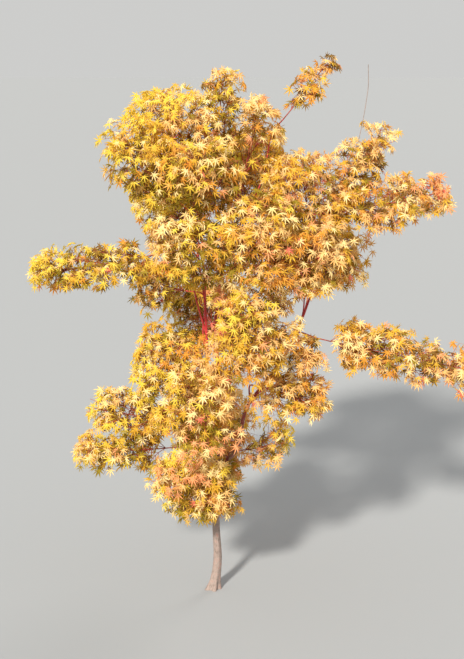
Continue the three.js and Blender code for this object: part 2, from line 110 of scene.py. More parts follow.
# A piece from vertices in millimetres and face arrays, each [n, corners]
def putPiece(name, verts, faces, material, smooth=True, attributes=None):
    mesh = bpy.data.meshes.new(name)
    corners = np.concatenate([f.ravel() for f in faces])
    sizes = np.concatenate([np.full(len(f), f.shape[1]) for f in faces])
    mesh.vertices.add(len(verts))
    mesh.vertices.foreach_set("co", (verts * mm).astype(np.float32).ravel())
    mesh.loops.add(len(corners))
    mesh.loops.foreach_set("vertex_index", corners.astype(np.int32))
    mesh.polygons.add(len(sizes))
    mesh.polygons.foreach_set("loop_start", (np.cumsum(sizes) - sizes).astype(np.int32))
    mesh.polygons.foreach_set("loop_total", sizes.astype(np.int32))
    mesh.polygons.foreach_set("use_smooth", np.full(len(sizes), smooth))
    for key, values in (attributes or {}).items():
        kind, field = ("FLOAT_VECTOR", "vector") if values.ndim == 2 else ("FLOAT", "value")
        data = mesh.attributes.new(key, kind, "POINT").data
        data.foreach_set(field, values.astype(np.float32).ravel())
    mesh.update()
    mesh.materials.append(material)
    piece = bpy.data.objects.new(name, mesh)
    scene.collection.objects.link(piece)
    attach(piece, "root")
    print(f"{name}: {int((sizes - 2).sum())} triangles")
    return piece


# Camera at the photograph's place, 3.6 m off. Lens and sensor are in millimetres.
camera = {
    "place": (0.0631, -3.6052, 1.7634), "down": 13, "lens": 60.86, "sensor": 36,
    "near": 0.05, "far": 1000,
}
cameraData = bpy.data.cameras.new("camera")
cameraData.sensor_width = camera["sensor"]
cameraData.lens = camera["lens"]
cameraData.clip_start, cameraData.clip_end = camera["near"], camera["far"]
cameraObject = bpy.data.objects.new("camera", cameraData)
cameraObject.location = camera["place"]
cameraObject.rotation_euler = (math.radians(90 - camera["down"]), 0, 0)
scene.collection.objects.link(cameraObject)
scene.camera = cameraObject

# Soft studio light: a key from the left in front, a weak broad one from the right behind, and an even sky.
# The floor is in metres, and its tint meets the sky's where they join.
studio = {
    "key": {"from": (-0.5, -1.15, 0.8), "spread": 6, "power": 4.95, "tint": "#FFF9EE"},
    "rim": {"from": (0.8, 1.0, 0.9), "spread": 25, "power": 0.7, "tint": "#FFF8F0"},
    "sky": {"tint": "#F2F2F0", "strength": 0.69},
    "floor": {"radius": 400, "sides": 96, "tint": "#A1A4A7", "rough": 0.9},
}
for name in ("key", "rim"):
    spec = studio[name]
    lamp = bpy.data.lights.new(name, "SUN")
    lamp.angle, lamp.energy = math.radians(spec["spread"]), spec["power"]
    lamp.color = linear(spec["tint"])[:3]
    lampObject = bpy.data.objects.new(name, lamp)
    lampObject.rotation_euler = Vector(spec["from"]).to_track_quat("Z", "Y").to_euler()
    scene.collection.objects.link(lampObject)
world = bpy.data.worlds.new("studio")
world.use_nodes = True
background = world.node_tree.nodes["Background"].inputs
background["Color"].default_value = linear(studio["sky"]["tint"])
background["Strength"].default_value = studio["sky"]["strength"]
scene.world = world
scene.view_settings.view_transform = "Standard"  # plain sRGB keeps the autumn colours clear

floor = studio["floor"]
around = 2 * np.pi * np.arange(floor["sides"]) / floor["sides"]
floorVerts = np.stack([np.cos(around), np.sin(around), 0 * around], 1) * floor["radius"] / mm
floorMaterial, tree = newMaterial("matt paper backdrop")
shader = addNode(tree, "ShaderNodeBsdfPrincipled",
                 {"Base Color": linear(floor["tint"]), "Roughness": floor["rough"]})
addNode(tree, "ShaderNodeOutputMaterial", links={"Surface": shader.outputs[0]})
floorPiece = putPiece("floor", floorVerts, [np.arange(floor["sides"])[None]], floorMaterial)
print("studio: camera, lights and floor")

linePoints, cubicPoints = 400, 80  # points in a limb's line, and in the cubic between two of its marks


# Points at even steps along a dense line
def evenly(points, count):
    steps = np.concatenate([[0], np.cumsum(np.linalg.norm(np.diff(points, axis=0), axis=1))])
    at = np.linspace(0, steps[-1], count)
    return np.stack([np.interp(at, steps, points[:, k]) for k in range(3)], 1)


# Centripetal Catmull-Rom line: a cubic between each two points, whose slopes at the ends come from the
# neighbours, weighted by the square roots of the distances, and resampled at even steps
def lineThrough(points):
    p = np.array(points, float)
    p = np.vstack([2 * p[0] - p[1], p, 2 * p[-1] - p[-2]])
    d = np.sqrt(np.linalg.norm(np.diff(p, axis=0), axis=1))[:, None]
    p0, p1, p2, p3 = p[:-3], p[1:-2], p[2:-1], p[3:]
    d0, d1, d2 = d[:-2], d[1:-1], d[2:]
    slope1 = ((p1 - p0) / d0 - (p2 - p0) / (d0 + d1) + (p2 - p1) / d1) * d1
    slope2 = ((p2 - p1) / d1 - (p3 - p1) / (d1 + d2) + (p3 - p2) / d2) * d1
    u = np.linspace(0, 1, cubicPoints, endpoint=False)[None, :, None]
    dense = (p1[:, None] + slope1[:, None] * u
             + (3 * (p2 - p1) - 2 * slope1 - slope2)[:, None] * u ** 2
             + (2 * (p1 - p2) + slope1 + slope2)[:, None] * u ** 3)
    return evenly(np.vstack([dense.reshape(-1, 3), p2[-1]]), linePoints)


# Quadratic Bezier lines: (1-t)^2 a + 2t(1-t) b + t^2 c for each row of a, b and c, at count values of t
def arcs(a, b, c, count):
    t = np.linspace(0, 1, count)[None, :, None]
    return a[:, None] * (1 - t) ** 2 + 2 * b[:, None] * t * (1 - t) + c[:, None] * t * t


# Faces over rings of vertices that come ring by ring, with a vertex for each end after them: quads between
# each two rings, and triangles from each end's vertex to its ring
def ringFaces(rings, sides):
    ring, k = np.meshgrid(np.arange(rings - 1), np.arange(sides), indexing="ij")
    a, b = ring * sides + k, ring * sides + (k + 1) % sides
    quads = np.stack([a, b, b + sides, a + sides], -1).reshape(-1, 4)
    k = np.arange(sides)
    first, last = rings * sides, rings * sides + 1
    ends = np.concatenate([
        np.stack([np.full(sides, first), (k + 1) % sides, k], 1),
        np.stack([np.full(sides, last), first - sides + k, first - sides + (k + 1) % sides], 1),
    ])
    return quads, ends


# Radii along a line: from the root's to the tip's, as the share of the length to a power
def fallingRadii(root, tip, power):
    return root + (tip - root) * np.linspace(0, 1, linePoints) ** power


# Tubes along many lines at once: a ring of vertices round each point, across the line, at its radius, and a
# vertex at the middle of both ends. lines is [n, rings, 3] and radii [n, rings] or [n, rings, sides].
def tubes(lines, radii, sides):
    n, rings, _ = lines.shape
    along = unit(np.gradient(lines, axis=1))
    axis = np.eye(3)[np.abs(along).max(axis=1).argmin(axis=1)][:, None]  # the axis farthest from the line
    across = unit(axis - (axis * along).sum(-1, keepdims=True) * along)
    third = np.cross(along, across)
    turn = 2 * np.pi * np.arange(sides) / sides
    out = across[:, :, None] * np.cos(turn)[:, None] + third[:, :, None] * np.sin(turn)[:, None]
    wide = radii[..., None, None] if radii.ndim == 2 else radii[..., None]
    ringed = (lines[:, :, None] + out * wide).reshape(n, -1, 3)
    verts = np.concatenate([ringed, lines[:, :1], lines[:, -1:]], axis=1)
    quads, ends = ringFaces(rings, sides)
    shift = (np.arange(n) * verts.shape[1])[:, None, None]
    return verts.reshape(-1, 3), [(quads[None] + shift).reshape(-1, 4), (ends[None] + shift).reshape(-1, 3)]


# Several meshes, each (verts, faces), as one
def joined(parts):
    verts, faces, shift = [], [], 0
    for partVerts, partFaces in parts:
        faces += [f + shift for f in partFaces]
        verts.append(partVerts)
        shift += len(partVerts)
    return np.concatenate(verts), faces


# The trunk and its limbs, as the solids have them. Each limb springs from its parent at a share of the
# parent's length and ends at its tip. Its foliage fills a space from there to its end.
trunk = {
    "line": [(-2, 0, -12), (0, 0, 0), (13, 0, 110), (8, 0, 250), (19, 0, 440)],
    "fork": 440, "foot": 17.2, "top": 10.8,
    "fall": 0.6,  # power of the share of the length that the taper follows
    "flare": 14, "flareHeight": 26, "roots": 5,
}
limb = {
    "tip": 2.0, "perLength": 0.0066, "ofParent": 0.74,
    "tipMost": 0.8,  # a tip's radius is at most this share of its root's
    "fall": 0.8,  # the same power for a limb
    "beside": 0.22,  # way along its parent, as a share of the distance to its first mark
    "turning": 0.18,  # and how far that point moves over to the mark
    "arriving": 0.25,  # straight way to its tip, as a share of the distance from its last mark
}
# parent, where along it, marks on the way, tip, end of its foliage, and how wide and how deep that is. A
# mass whose bough has no tip springs straight from its parent, and a limb without an end has no leaves.
limbs = {
    "left_leader": ("trunk", 0.97, [(-14, -5, 690), (-22, -5, 930)], (-75, -10, 1395),
                    (-168, -20, 1706), 290, 290),
    "middle_leader": ("trunk", 0.97, [(24, 25, 690), (8, 30, 940)], (45, 30, 1490),
                      (16, 40, 1764), 210, 210),
    "right_leader": ("trunk", 0.9, [(80, -8, 520), (112, -10, 660), (245, 0, 850)], (325, 0, 1210),
                     (282, -20, 1512), 320, 280),
    "shoot": ("middle_leader", 0.62, [(160, 40, 1420)], (228, 54, 1615), (380, 60, 1800), 150, 124),
    "left_shoulder": ("left_leader", 0.72, [], (-106, -60, 1362), (-306, -130, 1590), 310, 282),
    "left_arm": ("left_leader", 0.5, [], (-176, -60, 1194), (-582, -110, 1122), 270, 196),
    "left_waist": ("left_leader", 0.42, [], (-90, 20, 1058), (-272, 10, 1102), 340, 220),
    "left_mid": ("left_leader", 0.14, [], (-22, -65, 814), (-238, -130, 888), 298, 318),
    "left_low": ("trunk", 0.86, [], (-118, -75, 636), (-425, -135, 697), 280, 182),
    "left_foot": ("trunk", 0.78, [], (-128, -95, 552), (-430, -170, 552), 255, 168),
    "front_high": ("middle_leader", 0.74, [], (10, -110, 1340), (-45, -350, 1560), 310, 260),
    "front_left": ("left_leader", 0.55, [], (-30, -130, 1175), (-95, -390, 1305), 270, 260),
    "front_mid": ("middle_leader", 0.72, [], (100, -130, 1345), (172, -430, 1230), 310, 340),
    "front_heart": ("right_leader", 0.5, [], (152, -110, 984), (118, -390, 988), 300, 345),
    "front_low": ("left_leader", 0.1, [], (-32, -115, 738), (-62, -385, 748), 308, 345),
    "crest": ("middle_leader", 0.8, [], (95, 0, 1420), (162, 0, 1672), 235, 230),
    "right_high": ("right_leader", 0.92, [], (380, 55, 1372), (596, 100, 1566), 265, 205),
    "right_arm": ("right_leader", 0.84, [], (358, -25, 1318), (742, -60, 1382), 290, 190),
    "right_chest": ("right_leader", 0.74, [], (272, -95, 1198), (320, -345, 1230), 275, 295),
    "right_mid": ("right_leader", 0.56, [], (250, -75, 892), (328, -250, 884), 180, 170),
    "right_low": ("right_leader", 0.3, [], (150, -70, 752), (354, -220, 742), 285, 215),
    "far_arm": ("right_leader", 0.34, [], (345, -60, 915), (874, -165, 818), 260, 195),
    "right_foot": ("trunk", 0.9, [], (95, -25, 518), (276, -90, 562), 215, 195),
    "back_left": ("left_leader", 0.58, [], (-80, 130, 1235), (-175, 400, 1372), 330, 310),
    "back_high": ("middle_leader", 0.72, [], (90, 140, 1350), (140, 420, 1500), 340, 320),
    "back_mid": ("middle_leader", 0.24, [], (0, 150, 905), (-60, 455, 968), 380, 320),
    "back_right": ("right_leader", 0.66, [], (325, 130, 1090), (420, 430, 1165), 340, 325),
    "skirt_left": ("trunk", 0.74, [], None, (-148, -275, 530), 262, 240),
    "skirt_front": ("trunk", 0.93, [], None, (-6, -260, 464), 210, 252),
    "skirt_back": ("trunk", 0.92, [], None, (-35, 400, 668), 310, 300),
    "bare_whip": ("right_arm", 0.75, [(430, 20, 1440)], (497, 40, 1788), None, 0, 0),
}
masses = [name for name in limbs if name != "bare_whip"]
lines = {"trunk": lineThrough(trunk["line"])}
radii = {"trunk": fallingRadii(trunk["foot"], trunk["top"], trunk["fall"])}


def lengthOf(line):
    return np.linalg.norm(np.diff(line, axis=0), axis=1).sum()


# The point of a line that is nearest to a share of its length
def pointAt(share, points):
    return int(round(share * (points - 1)))


# Where a limb's line runs: from the parent's middle along the parent, then over to its tip. Its radius falls
# to its tip's from what its length and its foliage's call for, or a share of its parent's if that is less.
def limbLine(name):
    parent, at, via, tip, end, _, _ = limbs[name]
    step = pointAt(at, linePoints)
    start = lines[parent][step]
    along = unit(np.gradient(lines[parent], axis=0)[step])
    tip = np.array(tip, float)
    via = [np.array(v, float) for v in via]
    first = via[0] if via else tip
    leave = start + along * limb["beside"] * np.linalg.norm(first - start)
    leave = leave + (first - leave) * limb["turning"]
    onward = np.zeros(3) if end is None else np.array(end) - tip
    arrive = up if end is None else unit(onward)
    before = tip - arrive * limb["arriving"] * np.linalg.norm(tip - (via[-1] if via else start))
    lines[name] = lineThrough([start, leave, *via, before, tip])
    carried = lengthOf(lines[name]) + np.linalg.norm(onward)
    root = min(limb["ofParent"] * radii[parent][step], limb["tip"] + limb["perLength"] * carried)
    radii[name] = fallingRadii(root, min(limb["tip"], limb["tipMost"] * root), limb["fall"])


for name in limbs:
    if limbs[name][3] is not None:
        limbLine(name)
print("limbs:", len(lines))

# Scales are per millimetre: streaks are 1.7 mm wide and 20 mm long, blotches 17 mm wide, and there is a pore
# of about 1.6 by 0.7 mm in each 4.5 by 2 mm, whose rim fades between two shares of that room
bark = {
    "streaks": (0.6, 0.6, 0.05), "blotches": 0.06, "pores": (0.22, 0.22, 0.5),
    "streakShare": 0.8, "blotchShare": 0.7,  # how far each moves the skin's age
    "poreRim": (0.12, 0.24), "poreShare": 0.6, "poreTint": "#C4B4AA",
    "rougher": (0.3, 0.7, 0.2),  # streaks from the first to the second value add this much roughness
    "relief": 0.0006,  # in metres
    "stops": [(0.0, "#7A6A62"), (0.22, "#A39188"), (0.42, "#A06E62"), (0.62, "#8E3230"), (0.85, "#B62C30"),
              (1.0, "#C83E3E")],
}


# Weathered maple bark: smooth and matt, grey-beige, with fine upright streaks and small pale pores that lie
# across, as a young stem's skin stretches. Further up, the skin is younger: red-brown, then waxy coral. The
# attribute youth carries that and place follows the stem.
def barkMaterial(name, roughness, relief):
    material, tree = newMaterial(name)
    place = addNode(tree, "ShaderNodeAttribute", {"attribute_name": "place"}).outputs["Vector"]
    youth = addNode(tree, "ShaderNodeAttribute", {"attribute_name": "youth"}).outputs["Fac"]
    upright = addNode(tree, "ShaderNodeMapping", {"Scale": bark["streaks"]}, {"Vector": place}).outputs[0]
    streaks = addNode(tree, "ShaderNodeTexNoise", {"Scale": 1.0, "Detail": 5.0, "Roughness": 0.6},
                      {"Vector": upright}).outputs["Fac"]
    blotches = addNode(tree, "ShaderNodeTexNoise", {"Scale": bark["blotches"], "Detail": 3.0},
                       {"Vector": place}).outputs["Fac"]
    lying = addNode(tree, "ShaderNodeMapping", {"Scale": bark["pores"]}, {"Vector": place}).outputs[0]
    pores = addNode(tree, "ShaderNodeTexVoronoi", {"Scale": 1.0, "Randomness": 1.0},
                    {"Vector": lying}).outputs[0]
    low, high = bark["poreRim"]
    poreMask = addNode(tree, "ShaderNodeMapRange", {1: low, 2: high, 3: 1.0, 4: 0.0}, {0: pores}).outputs[0]
    aged = youth
    for share, pattern in ((bark["streakShare"], streaks), (bark["blotchShare"], blotches)):
        moved = addNode(tree, "ShaderNodeMath", {"operation": "MULTIPLY_ADD", 1: share, 2: -share / 2},
                        {0: pattern}).outputs[0]
        aged = addNode(tree, "ShaderNodeMath", {"operation": "ADD"}, {0: aged, 1: moved}).outputs[0]
    ramp = addNode(tree, "ShaderNodeValToRGB", links={"Fac": aged})
    setRamp(ramp, bark["stops"])
    pale = addNode(tree, "ShaderNodeMath", {"operation": "MULTIPLY", 1: bark["poreShare"]},
                   {0: poreMask}).outputs[0]
    colour = addNode(tree, "ShaderNodeMix",
                     {"data_type": "RGBA", "blend_type": "MIX", 7: linear(bark["poreTint"])},
                     {0: pale, 6: ramp.outputs[0]}).outputs[2]
    low, high, more = bark["rougher"]
    rough = addNode(tree, "ShaderNodeMapRange", {1: low, 2: high, 3: roughness, 4: roughness + more},
                    {0: streaks}).outputs[0]
    height = addNode(tree, "ShaderNodeMath", {"operation": "ADD"}, {0: streaks, 1: poreMask}).outputs[0]
    bump = addNode(tree, "ShaderNodeBump", {"Strength": relief, "Distance": bark["relief"]},
                   {"Height": height}).outputs[0]
    shader = addNode(tree, "ShaderNodeBsdfPrincipled", {"IOR": 1.45},
                     {"Base Color": colour, "Roughness": rough, "Normal": bump})
    addNode(tree, "ShaderNodeOutputMaterial", links={"Surface": shader.outputs[0]})
    return material


weatheredBark = barkMaterial("maple bark, weathered", roughness=0.68, relief=0.6)
coralBark = barkMaterial("young maple bark, waxy coral", roughness=0.36, relief=0.35)

# Sizes are in millimetres. Waves: how many round, depth as a share, height of a radian, and start. Flutes:
# how many round, depth, and start. Scars: height, angle, and size.
trunkSkin = {
    "sides": 72, "rings": 300,
    "closer": 1.15,  # power that draws the rings together at the foot
    "dome": 8.0, "domeRings": 8, "domeFrom": 0.2, "domeTo": 0.995,
    "flareParts": (0.62, 0.38, 0.3), "rootTurn": 0.9,  # all round, by root, and to the left
    "waves": [(2, 0.022, 110, 0.0), (3, 0.012, -70, 1.0)],
    "flutes": [(7, 0.22, 0.4), (13, 0.14, 2.1), (22, 0.09, 4.0)],
    "wind": 0.15, "windHeight": 90, "waver": 400,
    "pores": 260, "poresIn": (6, 436), "poreSize": (1.9, 0.9, 0.28),  # width, height and rise
    "scars": [(96, 4.2, 5.5), (171, 1.3, 4.5), (238, 5.2, 5.0), (292, 3.5, 5.5), (366, 4.9, 6.0)],
    "scarShape": (1.25, 1.3, 0.9, 2.4),  # how flat, its rise, its dip, and how slim the dip is
    "swelling": (1.2, 8, 22),  # rise, how far under the fork, and height
    "youth": 0.18, "youthAdded": 0.3, "youthFrom": 300, "youthPower": 1.5, "footYouth": 0.15,
}


# Trunk: level rings along its line. Radius at height z and angle a = taper + root flare that fades
# exponentially, swollen by cos(5a) and leaning left by cos(a), times two shallow waves, plus flutes that
# wind a little, pores, old twig scars, and a swelling and a dome at the fork. A pore is a bell curve, and a
# scar is one with a narrower one taken from it.
def trunkPiece():
    rng = np.random.default_rng(11)
    skin, dome, fork = trunkSkin, trunkSkin["dome"], trunk["fork"]
    heights = fork * np.linspace(0, 1, skin["rings"]) ** skin["closer"]
    over = np.sin(np.linspace(skin["domeFrom"], 1, skin["domeRings"]) * np.pi / 2)
    heights = np.concatenate([heights, fork + dome * over])
    line = lines["trunk"]
    low = np.minimum(heights, fork)
    middle = np.stack([np.interp(low, line[:, 2], line[:, k]) for k in range(3)], 1)
    taper = np.interp(low, line[:, 2], radii["trunk"])[:, None]
    z = heights[:, None]
    a = 2 * np.pi * np.arange(skin["sides"])[None] / skin["sides"]
    whole, rooted, leftward = skin["flareParts"]
    flare = whole + rooted * np.cos(trunk["roots"] * a + skin["rootTurn"]) - leftward * np.cos(a)
    r = taper + trunk["flare"] * np.exp(-z / trunk["flareHeight"]) * flare
    swell = 1
    for count, deep, height, start in skin["waves"]:
        swell = swell + deep * np.cos(count * a + z / height + start)
    r = r * swell
    wind = skin["wind"] * np.sin(z / skin["windHeight"])
    for count, deep, start in skin["flutes"]:
        r = r + deep * np.cos(count * a + wind * count + start + np.sin(z / (skin["waver"] / count)))
    poreZ = rng.uniform(*skin["poresIn"], skin["pores"])
    poreA = rng.uniform(0, 2 * np.pi, skin["pores"])
    wide, high, rise = skin["poreSize"]
    apart = np.angle(np.exp(1j * (a[..., None] - poreA))) * taper[..., None]
    away = (apart / wide) ** 2 + ((z[..., None] - poreZ) / high) ** 2
    r = r + rise * np.exp(-away).sum(-1)
    flat, rise, dip, slim = skin["scarShape"]
    for scarZ, scarA, size in skin["scars"]:
        apart = np.angle(np.exp(1j * (a - scarA))) * taper
        away = np.hypot(apart, (z - scarZ) * flat) / size
        r = r + rise * np.exp(-away ** 2) - dip * np.exp(-(away * slim) ** 2)
    rise, under, high = skin["swelling"]
    r = r + rise * np.exp(-((z - fork + under) / high) ** 2)
    r = r * np.sqrt(1 - np.clip((z - fork) / dome, 0, skin["domeTo"]) ** 2)
    x = middle[:, :1] + r * np.cos(a)
    y = middle[:, 1:2] + r * np.sin(a)
    level = np.broadcast_to(z, x.shape)
    verts = np.stack([x, y, level], -1).reshape(-1, 3)
    poles = np.array([[middle[0, 0], middle[0, 1], 0], [middle[-1, 0], middle[-1, 1], heights[-1]]])
    place = np.stack([taper * np.cos(a), taper * np.sin(a), level], -1).reshape(-1, 3)
    grown = np.clip((z - skin["youthFrom"]) / (fork - skin["youthFrom"]), 0, 1) ** skin["youthPower"]
    youth = np.broadcast_to(skin["youth"] + skin["youthAdded"] * grown, x.shape).ravel()
    attributes = {
        "place": np.concatenate([place, poles]),
        "youth": np.concatenate([youth, [skin["footYouth"], youth[-1]]]),
    }
    piece = putPiece("trunk_bark", np.concatenate([verts, poles]), ringFaces(*x.shape), weatheredBark,
                     attributes=attributes)
    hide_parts("trunk")


trunkPiece()

limbSkin = {
    "collar": 0.3, "collarLong": 2.5,  # how much wider at the root, and how far that reaches, in its radii
    "gaps": (38, 75), "node": 0.1, "nodeLong": 2.6,  # between old buds, and how wide and long they swell
    "flutes": [(3, 0.025, 45), (5, 0.018, -60)],  # how many round, depth as a share, length of a radian
    "apart": 900,  # how far the bark's pattern may be moved from limb to limb
}


# Limbs: tubes along their lines. The radius is the solid's, times a collar that fades from the root, with a
# narrow ring at each old pair of buds every few centimetres, and shallow flutes round it.
def limbPiece(pieceName, names, sides, step, material, youthOf):
    rng = np.random.default_rng(23)
    parts, places, youths = [], [], []
    for name in names:
        length = lengthOf(lines[name])
        rings = int(length / step)
        share = np.linspace(0, 1, rings)
        line = evenly(lines[name], rings)
        r = np.interp(share, np.linspace(0, 1, linePoints), radii[name])
        run = share * length
        r = r * (1 + limbSkin["collar"] * np.exp(-run / (limbSkin["collarLong"] * r[0])))
        nodes = np.cumsum(rng.uniform(*limbSkin["gaps"], int(length / limbSkin["gaps"][0]) + 1))
        r = r * (1 + limbSkin["node"] * np.exp(-((run[:, None] - nodes) / limbSkin["nodeLong"]) ** 2).sum(1))
        turn = 2 * np.pi * np.arange(sides) / sides
        fluted = 1
        for count, deep, long in limbSkin["flutes"]:
            fluted = fluted + deep * np.cos(count * turn + run[:, None] / long)
        parts.append(tubes(line[None], (r[:, None] * fluted)[None], sides))
        ringed = np.stack([
            r[:, None] * np.cos(turn), r[:, None] * np.sin(turn), np.broadcast_to(run[:, None], fluted.shape)
        ], -1).reshape(-1, 3)
        moved = rng.uniform(0, limbSkin["apart"])
        places.append(np.concatenate([ringed, [[0, 0, 0], [0, 0, length]]]) + moved)
        young = youthOf(r, line[:, 2])
        youths.append(np.concatenate([np.repeat(young, sides), young[[0, -1]]]))
    verts, faces = joined(parts)
    attributes = {"place": np.concatenate(places), "youth": np.concatenate(youths)}
    piece = putPiece(pieceName, verts, faces, material, attributes=attributes)
    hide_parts(*[n if n == "bare_whip" else f"bough_{n}" for n in names])


leaders = ["left_leader", "middle_leader", "right_leader"]
boughs = [n for n in lines if n not in (*leaders, "trunk", "bare_whip")]
coral = {
    "least": 0.42, "most": 0.86, "rise": 0.4, "over": 420,
    "slim": 5, "perSlim": 0.03, "slimMost": (-0.06, 0.1),
    "whip": 0.12,
}


# Youth of a limb's skin: it rises evenly with the height over the fork, and is a little more on a slim stem
def redness(r, z):
    byHeight = coral["least"] + coral["rise"] * (z - trunk["fork"]) / coral["over"]
    bySlimness = (coral["slim"] - r) * coral["perSlim"]
    return np.clip(byHeight, coral["least"], coral["most"]) + np.clip(bySlimness, *coral["slimMost"])


# The bare whip's skin is weathered from end to end
def greyness(r, z):
    return np.full(len(r), coral["whip"])


limbPiece("leader_bark", leaders, sides=24, step=5.0, material=coralBark, youthOf=redness)
limbPiece("bough_bark", boughs, sides=16, step=6.0, material=coralBark, youthOf=redness)
limbPiece("whip_bark", ["bare_whip"], sides=12, step=5.0, material=weatheredBark, youthOf=greyness)

# Foliage. Each mass keeps to its own space: an ellipsoid from its bough's tip to its end, wide across and
# deep up and down. A stem goes on from the bough's tip, and twigs leave it all round by even steps. Side
# twigs leave those in pairs, and carry the leaves in pairs. Lengths are in millimetres. Skins and margins are
# depths, from 0 in a space's middle to 1 on its skin.
crown = {
    "fullness": 2.5,  # 2 is an ellipsoid, more is squarer
    "half": 0.525,  # half a space's length, as a share of the way from the bough's tip to its end
    "skins": (0.48, 1.1),  # depth in the space up to which leaves hang on the weakest and strongest twig
    "cell": 21.5,  # one leaf in each cube of this edge
    "past": 0.025, "pastMore": 8,  # leaves may pass the solids by this share of their extent, and this more
    "clear": 8,  # between a leaf's heart and a limb's skin
    "skinMore": 0.08, "heartMargin": 0.45, "tipMargin": 0.6,  # for the tips and the hearts of the leaves
    "inside": 0.5, "insideShare": 0.45,  # up to this depth, only this share of the leaves is left
    "batch": 2000, "everyPoint": 8,  # leaves measured against the limbs at once, and at every eighth point
}
stem = {"short": 42, "rise": 9, "straight": 0.35, "points": 40, "leaves": [1.0, 0.9, 0.78]}
twig = {
    "room": 0.56e6, "fewest": 8,  # space for each, in cubic millimetres, and how many a stem has at least
    "along": 0.7549,  # step from one twig to the next along the space, as a share of it
    "round": 0.5698,  # step round the stem, as a share of a turn. Both together spread them evenly
    "spread": 0.86,  # how much of the space's length they take
    "under": 36, "least": 0.4,  # it stops so far under the skin, but has at least this share of the way
    "reach": (0.6, 0.46),  # share of that way that the weakest has, and what vigour adds
    "short": (6, 0.62),  # every sixth is shorter
    "feet": (0.04, 0.94),  # the first and the last place for a twig along its stem
    "trials": (0.35, 0.55, 0.75, 1.0),  # shares of its reach. The longest that fits is taken
    "skin": 1.05, "margin": 0.45,
    "lift": 8,  # of its tip
    "sweep": 0.12, "arch": 0.1,  # of the bend, ahead and up, as shares of its length
    "points": 21,
    "leaves": [1.0, 0.84, 0.66],  # where leaves leave it
}
sideTwig = {
    "pairs": [0.4, 0.58, 0.76, 0.92],  # where they leave their twig
    "tilt": 0.5, "roll": 0.45, "ahead": 0.66, "aside": 0.75,
    "long": (1.02, 0.62),  # share of its twig's length at the foot, and what it loses to the tip
    "between": (40, 112), "vary": (0.8, 1.15), "trials": (0.45, 0.7, 1.0),
    "margin": 0.4, "lift": 0, "hang": 0.1, "arch": 0.04, "sweep": 0.07, "points": 13,
    "leaves": [1.0, 0.66, 0.34],
}
leafWay = {"tilt": 0.5, "roll": 0.35, "ahead": 0.6, "rise": 0.18, "vary": 0.2}
leaf = {
    "radius": 25.2,  # from the heart to the tip of the middle lobe: the blade is 42 mm across
    "vary": (0.82, 1.14), "stalk": (12, 24),  # sizes, and lengths in millimetres
    "lobes": [(0, 1.0), (42, 0.96), (85, 0.84), (130, 0.58)],  # angle from the axis and length, both sides
    "bay": 0.21,  # how far from the heart the bays are, between lobes whose lengths add up to bayOf
    "bayOf": 1.7,
    "width": 0.088,  # half a lobe's width as a share of its length
    "widest": 0.5,  # where along a lobe that is
    "base": (168, 0.1),  # angle and distance of the corners at the stalk
    "pleats": (0.035, 0.05),  # height of the bays and of the lobes' edges, as shares of the radius
    "droop": (0.12, 0.42), "curl": 0.1, "twist": 0.14, "fold": (0.6, 1.8), "narrow": (0.82, 1.0),
}

fromPoints = np.array([limbs[n][3] if n in lines else lines[limbs[n][0]][pointAt(limbs[n][1], linePoints)]
                       for n in masses], float)
toPoints = np.array([limbs[n][4] for n in masses], float)
reaches = np.linalg.norm(toPoints - fromPoints, axis=1)
alongAxes = unit(toPoints - fromPoints)
steep = np.abs(alongAxes[:, 2:]) > 0.9  # nearly upright
acrossAxes = unit(np.cross(alongAxes, np.where(steep, [0.0, 1.0, 0.0], up)))
overAxes = np.cross(acrossAxes, alongAxes)
axes = np.stack([alongAxes, acrossAxes, overAxes], 1)  # [masses, 3 axes, 3]
middles = (fromPoints + toPoints) / 2
halfWidths, halfDepths = [[limbs[n][k] / 2 for n in masses] for k in (5, 6)]
halves = np.stack([reaches * crown["half"], halfWidths, halfDepths], 1)
volumes = 4 / 3 * np.pi * halves.prod(1)


# How deep points lie in each space, 0 at its middle and 1 on its skin: the sum of the shares of the three
# half sizes, each to the power of the fullness, to the power of one over it
def depths(points):
    shares = np.abs(np.einsum("nmk,mak->nma", points[:, None] - middles, axes)) / halves
    return (shares ** crown["fullness"]).sum(-1) ** (1 / crown["fullness"])


# Whether points lie in their own space, and not deeper in another by more than the margin
def inOwn(points, owner, skin, margin):
    d = depths(points)
    rows = np.arange(len(points))
    own = d[rows, owner]
    d[rows, owner] = np.inf
    return (own < skin) & (d.min(1) > own - margin)


# The largest share of each reach, out of those tried, whose tip is in its own space, or 0 if none is
def fitting(foot, way, reach, owner, skin, spec):
    best = np.zeros(len(reach))
    for part in spec["trials"]:
        tip = foot + way * (reach * part)[:, None] + up * spec["lift"]
        best = np.where(inOwn(tip, owner, skin, spec["margin"]), part, best)
    return best


# Stems: from the bough's tip along its way, then to a point short of the space's end and a little over it
def growStems():
    heads = np.array([unit(lines[n][-1] - lines[n][-4]) if n in lines else alongAxes[i]
                      for i, n in enumerate(masses)])
    stop = fromPoints + (toPoints - fromPoints) * (1 - stem["short"] / reaches)[:, None] + up * stem["rise"]
    return arcs(fromPoints, fromPoints + heads * reaches[:, None] * stem["straight"], stop, stem["points"])


